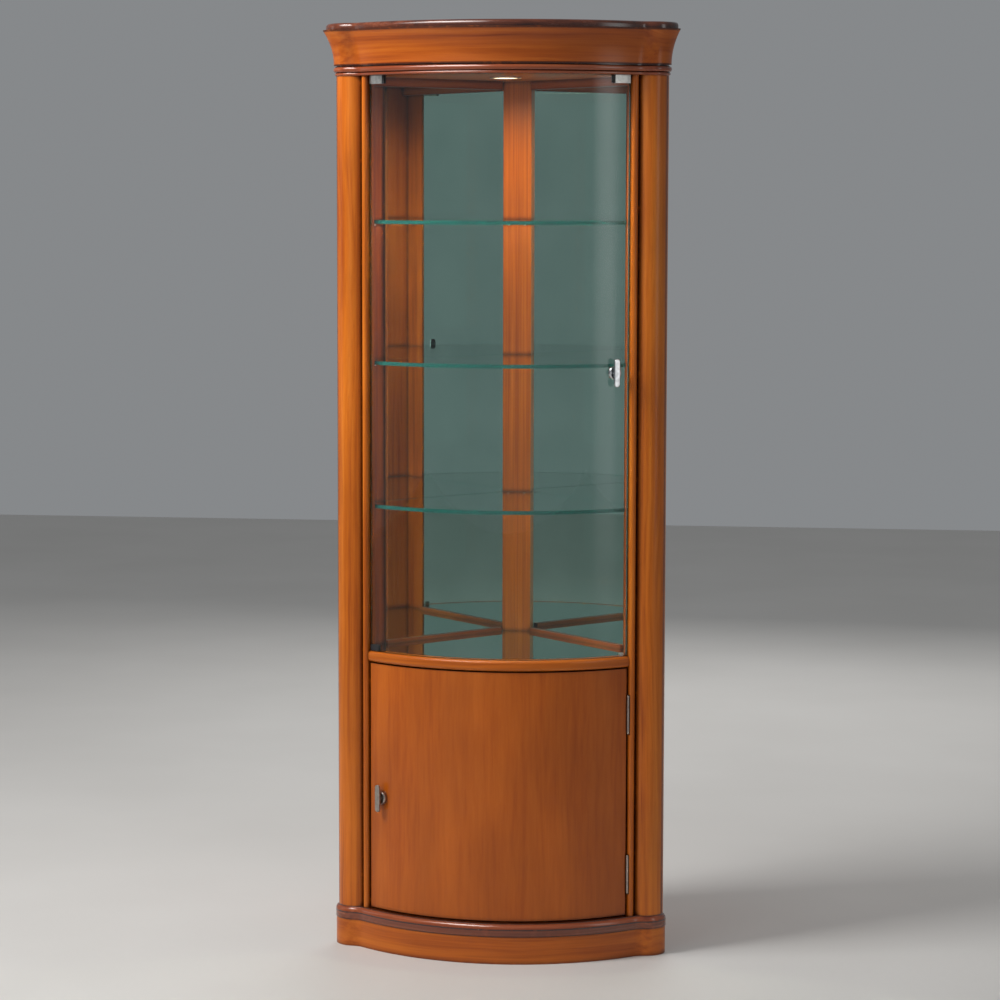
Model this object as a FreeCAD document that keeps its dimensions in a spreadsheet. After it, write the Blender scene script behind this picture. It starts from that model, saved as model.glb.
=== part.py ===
import FreeCAD, Part
import math
import os
import Sketcher

# Bow-fronted corner curio cabinet.
#
# The plan is drawn in corner coordinates: the two room walls meet at x = 0, y = 0 and run at 45
# degrees to either side, so a wall plane is y = -|x| and the bowed front looks along -Y.  Every
# sub-part is then placed so that the origin is the bottom centre of the bounding box, +Z up.
#
#   bow centre   on the centre line, bow_setback in front of the corner; both doors, the ledge and
#                the mouldings are arcs about it
#   jamb line    the radial end of the doors; the posts face it across jamb_gap
#   wall grid    "along" runs down a wall from the corner, "depth" runs in from the wall plane
#   front curve  bow, valley and post round joined tangentially: the plan of plinth and cornice

doc = FreeCAD.newDocument("corner_curio_cabinet")
sheet = doc.addObject("Spreadsheet::Sheet", "Sizes")


# Driving dimensions, in millimetres.
SIZES = {
    # Plan of the front
    "bow_setback": 33,
    "door_radius": 462,
    "post_jamb_offset": 57.3,
    "jamb_gap": 2.5,
    "jamb_depth": 19.2,
    "post_setback": 6.6,
    "post_depth": 28.28,
    "post_radius": 38,
    "post_bead_radius": 7,
    "post_bead_proud": 2.7,
    "bow_reach": 17.5,
    "post_reach": 5.5,
    "valley_radius": 45,
    "sweep_lead": 25,
    # Plan of the back
    "rear_flat": 15,
    "rear_strip_half": 31.5,
    "panel_inset": 5,
    "panel_thickness": 18,
    "mirror_thickness": 5,
    "bare_strip": 66,
    # Boards and heights, from the floor up
    "board_thickness": 18,
    "moulding_depth": 18,
    "plinth_height": 59,
    "plinth_cap_height": 28,
    "cupboard_height": 543,
    "ledge_height": 24,
    "display_height": 1235,
    "cornice_bead_height": 22,
    "cove_height": 75,
    "cap_height": 14,
    # Mouldings
    "plinth_cap_proud": 1.5,
    "plinth_cap_round": 12,
    "small_bead": 7,
    "large_bead": 13,
    "bead_seat": 5.5,
    "cove_fillet": 2,
    "cove_lip": 1,
    "cornice_reach": 24,
    "cap_reach": 17,
    "cap_round": 8,
    "ledge_proud": 4,
    "ledge_round": 8,
    "deck_bead_height": 8,
    "deck_bead_depth": 7,
    "ceiling_rail_height": 19,
    "ceiling_rail_depth": 9,
    "wall_rail_depth": 18,
    "wall_rail_stop": 24,
    # Shelves
    "deck_mirror_thickness": 4,
    "shelf_thickness": 8,
    "shelf_setback": 22,
    "shelf_gap": 1,
    "lower_shelf_rise": 317,
    "middle_shelf_rise": 310,
    "upper_shelf_rise": 302,
    "cupboard_shelf_thickness": 16,
    "cupboard_shelf_setback": 23,
    "cupboard_shelf_rise": 260,
    "shelf_pin_radius": 2.5,
    "shelf_pin_seat": 10,
    "shelf_pin_reach": 15,
    "rear_pin_spacing": 36,
    # Wooden door and its two butt hinges
    "wood_door_thickness": 18,
    "wood_door_floor_gap": 3,
    "wood_door_head_gap": 2.5,
    "wood_door_edge_round": 2,
    "hinge_barrel_radius": 2.8,
    "hinge_pin_radius": 1.4,
    "hinge_knuckle": 26,
    "hinge_leaf_thickness": 1.1,
    "hinge_leaf_width": 16,
    "hinge_finial": 3,
    "hinge_finial_round": 2.1,
    "lower_hinge_rise": 52.5,
    "upper_hinge_drop": 61.5,
    "running_clearance": 0.05,
    "moving_gap": 0.3,
    "notch_clearance": 1.4,
    "screw_head_radius": 2.8,
    "screw_shank_radius": 1.4,
    "screw_length": 13,
    "catch_width": 36,
    "catch_height": 14,
    "catch_depth": 13,
    "catch_inset": 60,
    "strike_width": 30,
    "strike_height": 12,
    "strike_thickness": 1.5,
    "catch_gap": 0.8,
    # Glass door, its pivots and clips
    "glass_setback": 3,
    "glass_thickness": 6,
    "glass_floor_gap": 3,
    "glass_head_gap": 2,
    "pivot_inset": 12.9,
    "clip_width": 42,
    "clip_height": 16.8,
    "clip_plate": 2.2,
    "clip_pad_width": 6,
    "clip_pad_plate": 1.7,
    "clip_web": 1.5,
    "shoe_width": 24,
    "shoe_height": 13,
    "shoe_plate": 1.5,
    "shoe_web": 2,
    "pivot_pin_radius": 2,
    "pivot_bush_radius": 4,
    "pivot_bush_depth": 10,
    "magnet_radius": 5,
    "magnet_depth": 8,
    "stop_width": 9,
    "stop_height": 7,
    "stop_depth": 6,
    "stop_inset": 5,
    "stop_gap": 0.5,
    # Knobs
    "knob_oval_height": 60,
    "knob_oval_width": 13,
    "knob_oval_thickness": 4.5,
    "knob_oval_round": 1.5,
    "knob_boss_radius": 14.5,
    "knob_boss_thickness": 8,
    "knob_boss_round": 3,
    "knob_neck_radius": 5,
    "knob_neck_length": 4.5,
    "knob_tenon_radius": 3,
    "knob_rosette_radius": 9,
    "knob_rosette_thickness": 3,
    "wood_knob_inset": 35,
    "wood_knob_rise": 249,
    "glass_knob_inset": 35.5,
    "glass_knob_rise": 606,
    # Spotlight in the ceiling
    "spotlight_y": 290,
    "spotlight_flange_radius": 34,
    "spotlight_flange_thickness": 2,
    "spotlight_can_radius": 28,
    "spotlight_can_wall": 2,
    "spotlight_can_height": 46,
    "spotlight_lens_thickness": 3,
}

for row, (alias, number) in enumerate(SIZES.items(), start=1):
    sheet.set(f"A{row}", alias.replace("_", " "))
    sheet.set(f"B{row}", str(number))
    sheet.setAlias(f"B{row}", alias)
doc.recompute()


# ---------------------------------------------------------------- places worked out from the sizes

BOW_GRID = "(Sizes.bow_setback / sqrt(2))"
POST_REACH = "(Sizes.door_radius - Sizes.post_setback)"
POST_ANGLE = f"(45 - asin((Sizes.post_depth - {BOW_GRID}) / {POST_REACH}) / 1 deg)"
DOOR_ANGLE = f"({POST_ANGLE} - asin(Sizes.post_jamb_offset / {POST_REACH}) / 1 deg)"
POST_X = f"({POST_REACH} * sin({POST_ANGLE}))"
POST_Y = f"(-Sizes.bow_setback - {POST_REACH} * cos({POST_ANGLE}))"
NOSE_RADIUS = "(Sizes.door_radius - Sizes.jamb_depth)"
NOSE_ARC = f"sqrt({NOSE_RADIUS} ^ 2 + Sizes.jamb_gap ^ 2)"
LEDGE_RADIUS = "(Sizes.door_radius + Sizes.ledge_proud)"
GLASS_RADIUS = "(Sizes.door_radius - Sizes.glass_setback)"
GLASS_INNER = f"({GLASS_RADIUS} - Sizes.glass_thickness)"
PIVOT_RADIUS = f"({GLASS_RADIUS} - Sizes.glass_thickness / 2)"

FLOOR = "(Sizes.plinth_height + Sizes.plinth_cap_height)"
LEDGE_BOTTOM = f"({FLOOR} + Sizes.cupboard_height)"
DECK = f"({LEDGE_BOTTOM} + Sizes.ledge_height)"
CEILING = f"({DECK} + Sizes.display_height)"
COVE_BOTTOM = f"({CEILING} + Sizes.cornice_bead_height)"
CAP_BOTTOM = f"({COVE_BOTTOM} + Sizes.cove_height)"
DIVIDER_TOP = f"({DECK} - Sizes.deck_mirror_thickness)"
WOOD_DOOR_BOTTOM = f"({FLOOR} + Sizes.wood_door_floor_gap)"
WOOD_DOOR_TOP = f"({LEDGE_BOTTOM} - Sizes.wood_door_head_gap)"
GLASS_BOTTOM = f"({DECK} + Sizes.glass_floor_gap)"
GLASS_TOP = f"({CEILING} - Sizes.glass_head_gap)"

PANEL_FRONT = "(Sizes.panel_inset + Sizes.panel_thickness)"
MIRROR_FRONT = f"({PANEL_FRONT} + Sizes.mirror_thickness)"
REAR_ALONG = f"(sqrt(2) * Sizes.rear_strip_half + {MIRROR_FRONT})"
STRIP_Y = f"(Sizes.rear_strip_half + sqrt(2) * {MIRROR_FRONT})"

FRONT_DEPTH = "(Sizes.bow_setback + Sizes.door_radius + Sizes.bow_reach + Sizes.cornice_reach)"
CORNER_Y = f"({FRONT_DEPTH} + Sizes.rear_flat) / 2"


def value(expression):
    """The number that an expression over the sheet gives."""
    result = sheet.evalExpression(expression)
    return float(getattr(result, "Value", result))


def polar(radius, angle, offset="0"):
    """Point at a radius and angle from the bow centre, moved sideways by offset."""
    across = f"({radius}) * sin({angle}) + ({offset}) * cos({angle})"
    ahead = f"-Sizes.bow_setback - ({radius}) * cos({angle}) + ({offset}) * sin({angle})"
    return across, ahead


def jamb(radius, offset="0"):
    """Point on the right-hand jamb line, moved towards the post by offset."""
    return polar(radius, DOOR_ANGLE, offset)


def wall_point(along, depth):
    """Point of the right-hand wall grid."""
    return f"(({along}) - ({depth})) / sqrt(2)", f"-(({along}) + ({depth})) / sqrt(2)"


def arc_angle(length, radius):
    """Angle in degrees of an arc length at a radius."""
    return f"(({length}) / ({radius}) * 180 / pi)"


def mirrored(corners):
    """The same corners on the other side of the centre line, walked the other way round."""
    flipped = []
    for index, corner in enumerate(corners):
        x, y = corner[:2]
        arc = corners[index - 1][2:]
        flipped.append((f"-({x})", y) + tuple(arc))
    return flipped[::-1]


def symmetric(half):
    """Both sides of an outline whose right half is given from back to front."""
    other = mirrored(half)
    return half + other[:-1] + [other[-1][:2]]


NOSE = jamb(NOSE_RADIUS, "Sizes.jamb_gap")
POST_ALONG = f"(({NOSE[0]}) - ({NOSE[1]})) / sqrt(2)"
PIVOT_ANGLE = f"({DOOR_ANGLE} - {arc_angle('Sizes.pivot_inset', PIVOT_RADIUS)})"
HINGE_RADIUS = "(Sizes.door_radius + Sizes.hinge_barrel_radius + Sizes.moving_gap)"
HINGE_AXIS = jamb(HINGE_RADIUS, "Sizes.jamb_gap / 2")
LOWER_HINGE = f"({FLOOR} + Sizes.lower_hinge_rise)"
HINGE_HEIGHT = "(3 * Sizes.hinge_knuckle)"
UPPER_HINGE = f"({WOOD_DOOR_TOP} - Sizes.upper_hinge_drop - {HINGE_HEIGHT})"

MAGNET_ANGLE = f"({DOOR_ANGLE} - {arc_angle('Sizes.clip_width / 2', PIVOT_RADIUS)})"
WOOD_KNOB_ANGLE = f"(-{DOOR_ANGLE} + {arc_angle('Sizes.wood_knob_inset', 'Sizes.door_radius')})"
WOOD_KNOB_LEVEL = f"({FLOOR} + Sizes.wood_knob_rise)"
GLASS_KNOB_ANGLE = f"({DOOR_ANGLE} - {arc_angle('Sizes.glass_knob_inset', GLASS_RADIUS)})"
GLASS_KNOB_LEVEL = f"({GLASS_BOTTOM} + Sizes.glass_knob_rise)"
KNOB_TENON = "(Sizes.wood_door_thickness - 2 * Sizes.running_clearance)"

LOWER_SHELF_TOP = f"({DECK} + Sizes.lower_shelf_rise)"
MIDDLE_SHELF_TOP = f"({LOWER_SHELF_TOP} + Sizes.middle_shelf_rise)"
UPPER_SHELF_TOP = f"({MIDDLE_SHELF_TOP} + Sizes.upper_shelf_rise)"
CUPBOARD_SHELF_BOTTOM = f"({FLOOR} + Sizes.cupboard_shelf_rise)"
DISPLAY_SHELF_BOTTOMS = [
    f"({top} - Sizes.shelf_thickness)" for top in (LOWER_SHELF_TOP, MIDDLE_SHELF_TOP, UPPER_SHELF_TOP)
]
PIN_LEVELS = [
    f"({bottom} - Sizes.shelf_pin_radius)" for bottom in [CUPBOARD_SHELF_BOTTOM] + DISPLAY_SHELF_BOTTOMS
]
PIN_ALONG = f"({POST_ALONG} - Sizes.bare_strip / 2)"


# ------------------------------------------------------------------------------ sketching helpers

RIGHT, LEFT = 1, -1


def new_body(label, turn="0", origin_y="0"):
    """Body in corner coordinates; turn swings it about Z, origin_y moves its own origin."""
    body = doc.addObject("PartDesign::Body", label)
    body.Label = label
    body.Placement = FreeCAD.Placement(FreeCAD.Vector(), FreeCAD.Rotation(FreeCAD.Vector(0, 0, 1), 1))
    body.setExpression("Placement.Base.y", f"{CORNER_Y} + ({origin_y})")
    body.setExpression("Placement.Rotation.Angle", turn)
    return body


def wall_body(label, side):
    """Body whose X runs along a wall from the corner and whose Z is up."""
    return new_body(label, turn=f"-90 + 45 * {side}")


def radial_body(label, angle):
    """Body with its origin at the bow centre and -Y pointing outwards at an angle."""
    return new_body(label, turn=angle, origin_y="-Sizes.bow_setback")


def new_sketch(body, plane="XY_Plane", lift="0"):
    """Sketch on one of the body's own origin planes, lifted along that plane's normal."""
    count = sum(item.isDerivedFrom("Sketcher::SketchObject") for item in body.Group) + 1
    sketch = body.newObject("Sketcher::SketchObject", f"{body.Label}_sketch_{count}")
    support = next(item for item in body.Origin.OriginFeatures if item.Role == plane)
    sketch.AttachmentSupport = (support, [""])
    sketch.MapMode = "FlatFace"
    sketch.setExpression("AttachmentOffset.Base.z", lift)
    return sketch


def jamb_sketch(body, offset="0"):
    """Sketch on the jamb plane: its x runs inwards to the bow centre, its y up, normal to the post."""
    sketch = new_sketch(body, "YZ_Plane", f"({offset}) * cos({DOOR_ANGLE})")
    sketch.AttachmentOffset = FreeCAD.Placement(
        FreeCAD.Vector(), FreeCAD.Rotation(FreeCAD.Vector(0, 1, 0), 1)
    )
    sketch.setExpression("AttachmentOffset.Base.x", f"-Sizes.bow_setback + ({offset}) * sin({DOOR_ANGLE})")
    sketch.setExpression("AttachmentOffset.Rotation.Angle", DOOR_ANGLE)
    return sketch


def bind(sketch, constraint, expression):
    """Adds a dimension to a sketch and ties it to the sheet."""
    index = sketch.addConstraint(constraint)
    sketch.setExpression(f"Constraints[{index}]", expression)


def locate(sketch, geometry, point, x, y):
    """Fixes a point of a sketch at x, y from its origin."""
    bind(sketch, Sketcher.Constraint("DistanceX", -1, 1, geometry, point, value(x)), x)
    bind(sketch, Sketcher.Constraint("DistanceY", -1, 1, geometry, point, value(y)), y)


def arc_between(start, end, radius, bend):
    """The short arc from start to end: bend 1 turns left, -1 turns right."""
    chord = end - start
    middle = (start + end) * 0.5
    left = FreeCAD.Vector(-chord.y, chord.x, 0) / chord.Length
    rise = math.sqrt(max(radius**2 - (chord.Length / 2) ** 2, 0))
    centre = middle + left * rise * bend
    first, last = (start, end) if bend > 0 else (end, start)
    angles = [math.atan2(point.y - centre.y, point.x - centre.x) for point in (first, last)]
    return Part.ArcOfCircle(Part.Circle(centre, FreeCAD.Vector(0, 0, 1), radius), *angles)


def draw(sketch, corners):
    """Draws a closed outline.  A corner is (x, y), or (x, y, radius, bend) where an arc leaves it."""
    points = [FreeCAD.Vector(value(corner[0]), value(corner[1]), 0) for corner in corners]
    first = sketch.GeometryCount
    ends = []
    for index, corner in enumerate(corners):
        start = points[index]
        end = points[(index + 1) % len(points)]
        if len(corner) == 2:
            sketch.addGeometry(Part.LineSegment(start, end))
            ends.append((1, 2))
        else:
            radius, bend = corner[2:]
            geometry = sketch.addGeometry(arc_between(start, end, value(radius), bend))
            bind(sketch, Sketcher.Constraint("Radius", geometry, value(radius)), radius)
            ends.append((1, 2) if bend > 0 else (2, 1))
    for index, corner in enumerate(corners):
        before = (index - 1) % len(corners)
        start = (first + index, ends[index][0])
        sketch.addConstraint(Sketcher.Constraint("Coincident", first + before, ends[before][1], *start))
        locate(sketch, *start, corner[0], corner[1])
    return sketch


def circle(sketch, x, y, radius):
    """Draws a circle at x, y."""
    centre = FreeCAD.Vector(value(x), value(y), 0)
    geometry = sketch.addGeometry(Part.Circle(centre, FreeCAD.Vector(0, 0, 1), value(radius)))
    bind(sketch, Sketcher.Constraint("Radius", geometry, value(radius)), radius)
    locate(sketch, geometry, 3, x, y)
    return sketch


def box_corners(left, right, bottom, top):
    """Corners of an upright rectangle."""
    return [(left, bottom), (right, bottom), (right, top), (left, top)]


def sector_corners(inner, outer, start, end):
    """Corners of a piece of a ring about the bow centre, between two angles (start < end)."""
    return [
        polar(outer, start) + (outer, 1),
        polar(outer, end),
        polar(inner, end) + (inner, -1),
        polar(inner, start),
    ]


def pad(body, sketch, length, reverse=False):
    """Pads a sketch along its normal, or against it."""
    feature = body.newObject("PartDesign::Pad", f"{sketch.Name}_pad")
    feature.Profile = sketch
    feature.Reversed = reverse
    feature.setExpression("Length", length)
    body.Tip = feature
    return feature


def pocket(body, sketch, length, forward=False):
    """Cuts a sketch against its normal, or forward along it."""
    feature = body.newObject("PartDesign::Pocket", f"{sketch.Name}_pocket")
    feature.Profile = sketch
    feature.Reversed = forward
    feature.setExpression("Length", length)
    body.Tip = feature
    return feature


def rounded(body, base, radius, chosen):
    """Fillets the edges of a feature for which chosen(edge) is true."""
    doc.recompute()
    names = [f"Edge{index}" for index, edge in enumerate(base.Shape.Edges, start=1) if chosen(edge)]
    feature = body.newObject("PartDesign::Fillet", f"{base.Name}_round")
    feature.Base = (base, names)
    feature.setExpression("Radius", radius)
    body.Tip = feature
    return feature


def level(edge, height):
    """True where an edge lies wholly at one height."""
    return abs(edge.BoundBox.ZMin - height) < 1e-6 and abs(edge.BoundBox.ZMax - height) < 1e-6


def grouped(label, pieces):
    """Separate alike pieces under one name."""
    group = doc.addObject("Part::Compound", label)
    group.Label = label
    group.Links = pieces


def is_arc(edge, radius):
    """True where an edge is an arc of one radius."""
    return isinstance(edge.Curve, Part.Circle) and abs(edge.Curve.Radius - radius) < 1e-6


# ------------------------------------------------------------------- the front curve and mouldings


def valley_centre():
    """Centre of the right valley arc, which touches the bow and the post round from outside."""
    bow = FreeCAD.Vector(0, -value("Sizes.bow_setback"), 0)
    post = FreeCAD.Vector(value(POST_X), value(POST_Y), 0)
    valley = value("Sizes.valley_radius")
    to_bow = value("Sizes.door_radius + Sizes.bow_reach") + valley
    to_post = value("Sizes.post_radius + Sizes.post_reach") + valley
    span = post - bow
    foot = (to_bow**2 - to_post**2 + span.Length**2) / (2 * span.Length)
    ahead = FreeCAD.Vector(span.y, -span.x, 0) / span.Length
    return bow + span * (foot / span.Length) + ahead * math.sqrt(to_bow**2 - foot**2)


def bearing(origin, target):
    """Direction from one point to another, in radians."""
    return math.atan2(target.y - origin.y, target.x - origin.x)


def front_curve(sketch, grow, back_y):
    """Draws the front curve, moved out by grow, with straight leads back to y = back_y."""
    axis = FreeCAD.Vector(0, 0, 1)
    valley = valley_centre()
    bow = FreeCAD.Vector(0, -value("Sizes.bow_setback"), 0)
    bow_radius = f"Sizes.door_radius + Sizes.bow_reach + ({grow})"
    post_radius = f"Sizes.post_radius + Sizes.post_reach + ({grow})"
    valley_radius = f"Sizes.valley_radius - ({grow})"
    half = value(POST_X)
    out = half + value(post_radius)
    post_y = value(POST_Y)
    parts = {}
    parts["bow"] = sketch.addGeometry(
        Part.ArcOfCircle(
            Part.Circle(bow, axis, value(bow_radius)),
            -math.pi - bearing(bow, valley),
            bearing(bow, valley),
        )
    )
    for side in (RIGHT, LEFT):
        post = FreeCAD.Vector(side * half, post_y, 0)
        hollow = FreeCAD.Vector(side * valley.x, valley.y, 0)
        round_ends = [bearing(post, hollow), 0.0]
        hollow_ends = [bearing(hollow, post), bearing(hollow, bow)]
        if side == LEFT:
            round_ends = [math.pi, bearing(post, hollow)]
            hollow_ends.reverse()
        parts["valley", side] = sketch.addGeometry(
            Part.ArcOfCircle(Part.Circle(hollow, axis, value(valley_radius)), *hollow_ends)
        )
        parts["round", side] = sketch.addGeometry(
            Part.ArcOfCircle(Part.Circle(post, axis, value(post_radius)), *round_ends)
        )
        lead_ends = FreeCAD.Vector(side * out, post_y, 0), FreeCAD.Vector(side * out, value(back_y), 0)
        parts["lead", side] = sketch.addGeometry(Part.LineSegment(*lead_ends))
        for arc, radius in (("valley", valley_radius), ("round", post_radius)):
            bind(sketch, Sketcher.Constraint("Radius", parts[arc, side], value(radius)), radius)
        locate(sketch, parts["round", side], 3, f"{side} * {POST_X}", POST_Y)
        inner, outer = (1, 2) if side == RIGHT else (2, 1)
        joints = [
            (parts["bow"], outer, parts["valley", side], outer),
            (parts["valley", side], inner, parts["round", side], inner),
            (parts["round", side], outer, parts["lead", side], 1),
        ]
        for joint in joints:
            sketch.addConstraint(Sketcher.Constraint("Tangent", *joint))
        bind(sketch, Sketcher.Constraint("DistanceY", -1, 1, parts["lead", side], 2, value(back_y)), back_y)
    bind(sketch, Sketcher.Constraint("Radius", parts["bow"], value(bow_radius)), bow_radius)
    locate(sketch, parts["bow"], 3, "0", "-Sizes.bow_setback")
    return parts


def trim_at_walls(body, height):
    """Cuts off all that would stand behind the two wall planes and the rear flat."""
    sketch = new_sketch(body)
    far = "(2 * Sizes.door_radius)"
    right = [("Sizes.rear_flat", "-Sizes.rear_flat"), (far, f"-{far}"), (far, far)]
    draw(sketch, symmetric(right))
    return pocket(body, sketch, height, forward=True)


def curved_board(label, grow, bottom, thickness):
    """Board that fills the corner up to the front curve moved out by grow."""
    body = new_body(label)
    sketch = new_sketch(body, lift=bottom)
    parts = front_curve(sketch, grow, "0")
    back = [sketch.Geometry[parts["lead", side]].EndPoint for side in (RIGHT, LEFT)]
    closing = sketch.addGeometry(Part.LineSegment(*back))
    sketch.addConstraint(Sketcher.Constraint("Coincident", closing, 1, parts["lead", RIGHT], 2))
    sketch.addConstraint(Sketcher.Constraint("Coincident", closing, 2, parts["lead", LEFT], 2))
    pad(body, sketch, thickness)
    trim_at_walls(body, f"{bottom} + {thickness} + 1")
    return body


def moulding(label, corners, top):
    """Sweeps a section along the front curve; corners are (reach beyond the curve, height)."""
    body = new_body(label)
    back_y = f"{POST_Y} + Sizes.sweep_lead"
    spine = new_sketch(body, lift=corners[0][1])
    front_curve(spine, "0", back_y)
    profile = new_sketch(body, "XZ_Plane", f"-({back_y})")
    edge = f"{POST_X} + Sizes.post_radius + Sizes.post_reach"
    draw(profile, [(f"{edge} + ({corner[0]})",) + tuple(corner[1:]) for corner in corners])
    sweep = body.newObject("PartDesign::AdditivePipe", f"{label}_sweep")
    sweep.Profile = profile
    sweep.Spine = (spine, [])
    body.Tip = sweep
    trim_at_walls(body, f"{top} + 1")
    return body


def plinth_board():
    section = box_corners("-Sizes.moulding_depth", "0", "0", "Sizes.plinth_height")
    return moulding("plinth_board", section, "Sizes.plinth_height")


def plinth_cap_moulding():
    """Nosed band: a bevelled lower edge and a rounded top that dies under the posts."""
    shoulder = "Sizes.plinth_cap_proud - Sizes.plinth_cap_round"
    centre_reach = "(Sizes.plinth_cap_proud - Sizes.plinth_cap_round)"
    rise = f"sqrt(Sizes.plinth_cap_round ^ 2 - ({centre_reach} + Sizes.post_reach) ^ 2)"
    section = [
        ("-Sizes.moulding_depth", "Sizes.plinth_height"),
        ("0", "Sizes.plinth_height"),
        ("Sizes.plinth_cap_proud", "Sizes.plinth_height + Sizes.plinth_cap_proud"),
        ("Sizes.plinth_cap_proud", f"{FLOOR} - Sizes.plinth_cap_round", "Sizes.plinth_cap_round", 1),
        ("-Sizes.post_reach", f"{FLOOR} - Sizes.plinth_cap_round + {rise}"),
        ("-Sizes.post_reach", FLOOR),
        ("-Sizes.moulding_depth", FLOOR),
    ]
    return moulding("plinth_cap_moulding", section, FLOOR)


def half_round(height, bottom):
    """Lower and upper quarter of a bead that stands on the bead seat line."""
    radius = f"({height}) / 2"
    return [
        ("-Sizes.bead_seat", bottom, radius, 1),
        (f"-Sizes.bead_seat + {radius}", f"{bottom} + {radius}", radius, 1),
    ]


def cornice_bead_moulding():
    """A small and a large bead, one above the other."""
    section = [("-Sizes.moulding_depth", CEILING)]
    section += half_round("Sizes.small_bead", CEILING)
    section += half_round("Sizes.large_bead", f"{CEILING} + Sizes.small_bead")
    section += [
        ("-Sizes.bead_seat", f"{CEILING} + Sizes.small_bead + Sizes.large_bead"),
        ("-Sizes.bead_seat", COVE_BOTTOM),
        ("-Sizes.moulding_depth", COVE_BOTTOM),
    ]
    return moulding("cornice_bead_moulding", section, COVE_BOTTOM)


def cornice_cove():
    """Hollow cove that starts upright and flares out to the cornice's widest line."""
    rise = "(Sizes.cove_height - Sizes.cove_fillet - Sizes.cove_lip)"
    sweep_radius = f"(Sizes.cornice_reach ^ 2 + {rise} ^ 2) / (2 * Sizes.cornice_reach)"
    section = [
        ("-Sizes.moulding_depth", COVE_BOTTOM),
        ("0", COVE_BOTTOM),
        ("0", f"{COVE_BOTTOM} + Sizes.cove_fillet", sweep_radius, -1),
        ("Sizes.cornice_reach", f"{CAP_BOTTOM} - Sizes.cove_lip"),
        ("Sizes.cornice_reach", CAP_BOTTOM),
        ("-Sizes.moulding_depth", CAP_BOTTOM),
    ]
    return moulding("cornice_cove", section, CAP_BOTTOM)


def cornice_cap():
    """Top board with a rounded nose along the whole front."""
    body = curved_board("cornice_cap", "Sizes.cap_reach", CAP_BOTTOM, "Sizes.cap_height")
    top = value(f"{CAP_BOTTOM} + Sizes.cap_height")
    doc.recompute()
    nose = lambda edge: level(edge, top) and isinstance(edge.Curve, Part.Circle)
    return rounded(body, body.Tip, "Sizes.cap_round", nose)


# ------------------------------------------------------------------------------------ the carcass


def base_board():
    """Floor of the cupboard, inside the plinth and its cap."""
    bottom = f"({FLOOR} - Sizes.board_thickness)"
    return curved_board("base_board", "-Sizes.moulding_depth", bottom, "Sizes.board_thickness")


def ceiling_board():
    """Board over the display space, with seats for the spotlight, the pivot bush and the magnet."""
    body = curved_board("ceiling_board", "-Sizes.moulding_depth", CEILING, "Sizes.board_thickness")
    seats = [
        ("0", "-Sizes.spotlight_y", "Sizes.spotlight_can_radius", "Sizes.board_thickness"),
        polar(PIVOT_RADIUS, f"-{PIVOT_ANGLE}") + ("Sizes.pivot_bush_radius", "Sizes.pivot_bush_depth"),
        polar(PIVOT_RADIUS, MAGNET_ANGLE) + ("Sizes.magnet_radius", "Sizes.magnet_depth"),
    ]
    for x, y, radius, depth in seats:
        sketch = new_sketch(body, lift=CEILING)
        circle(sketch, x, y, radius)
        pocket(body, sketch, depth, forward=True)
    return body


def post(side):
    """Front post: a round outer face, a bead beside the door and a flat jamb face."""
    body = new_body("right_post" if side == RIGHT else "left_post")
    round_along = f"({POST_X} - {POST_Y}) / sqrt(2)"
    meets_wall = f"{round_along} + sqrt(Sizes.post_radius ^ 2 - Sizes.post_depth ^ 2)"
    bead = jamb("Sizes.door_radius + Sizes.post_bead_proud", "Sizes.jamb_gap + Sizes.post_bead_radius")
    bead_side = f"({bead[0]} + Sizes.post_bead_radius)"
    groove_y = f"{POST_Y} - sqrt(Sizes.post_radius ^ 2 - ({bead_side} - {POST_X}) ^ 2)"
    corners = [
        wall_point(POST_ALONG, "0"),
        wall_point(meets_wall, "0") + ("Sizes.post_radius", -1),
        (bead_side, groove_y),
        (bead_side, bead[1], "Sizes.post_bead_radius", -1),
        jamb("Sizes.door_radius + Sizes.post_bead_proud", "Sizes.jamb_gap"),
        NOSE,
    ]
    sketch = new_sketch(body, lift=FLOOR)
    draw(sketch, corners if side == RIGHT else mirrored(corners))
    pad(body, sketch, f"{CEILING} - {FLOOR}")
    return body


def right_post():
    """The hinge post: notches in its bead for the hinge barrels, and pilot holes for the screws."""
    body = post(RIGHT)
    for bottom in (LOWER_HINGE, UPPER_HINGE):
        notch = new_sketch(body, lift=f"{bottom} - Sizes.hinge_finial - Sizes.notch_clearance")
        circle(notch, *HINGE_AXIS, "Sizes.hinge_barrel_radius + Sizes.notch_clearance")
        height = f"{HINGE_HEIGHT} + 2 * (Sizes.hinge_finial + Sizes.notch_clearance)"
        pocket(body, notch, height, forward=True)
    holes = screw_circles(jamb_sketch(body, "Sizes.jamb_gap"), "Sizes.screw_shank_radius")
    pocket(body, holes, "Sizes.screw_length", forward=True)
    return body


def back_panel(side):
    """Panel between the rear strip and a post, bored on its room side for the shelf pins."""
    body = wall_body("right_back_panel" if side == RIGHT else "left_back_panel", side)
    sketch = new_sketch(body, lift=FLOOR)
    depths = [f"-{side} * Sizes.panel_inset", f"-{side} * {PANEL_FRONT}"]
    draw(sketch, box_corners(REAR_ALONG, POST_ALONG, *(depths if side == LEFT else depths[::-1])))
    pad(body, sketch, f"{CEILING} - {FLOOR}")
    holes = new_sketch(body, "XZ_Plane", f"{side} * {PANEL_FRONT}")
    for level_z in PIN_LEVELS:
        circle(holes, PIN_ALONG, level_z, "Sizes.shelf_pin_radius")
    pocket(body, holes, "Sizes.shelf_pin_seat", forward=side == LEFT)
    return body


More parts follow.
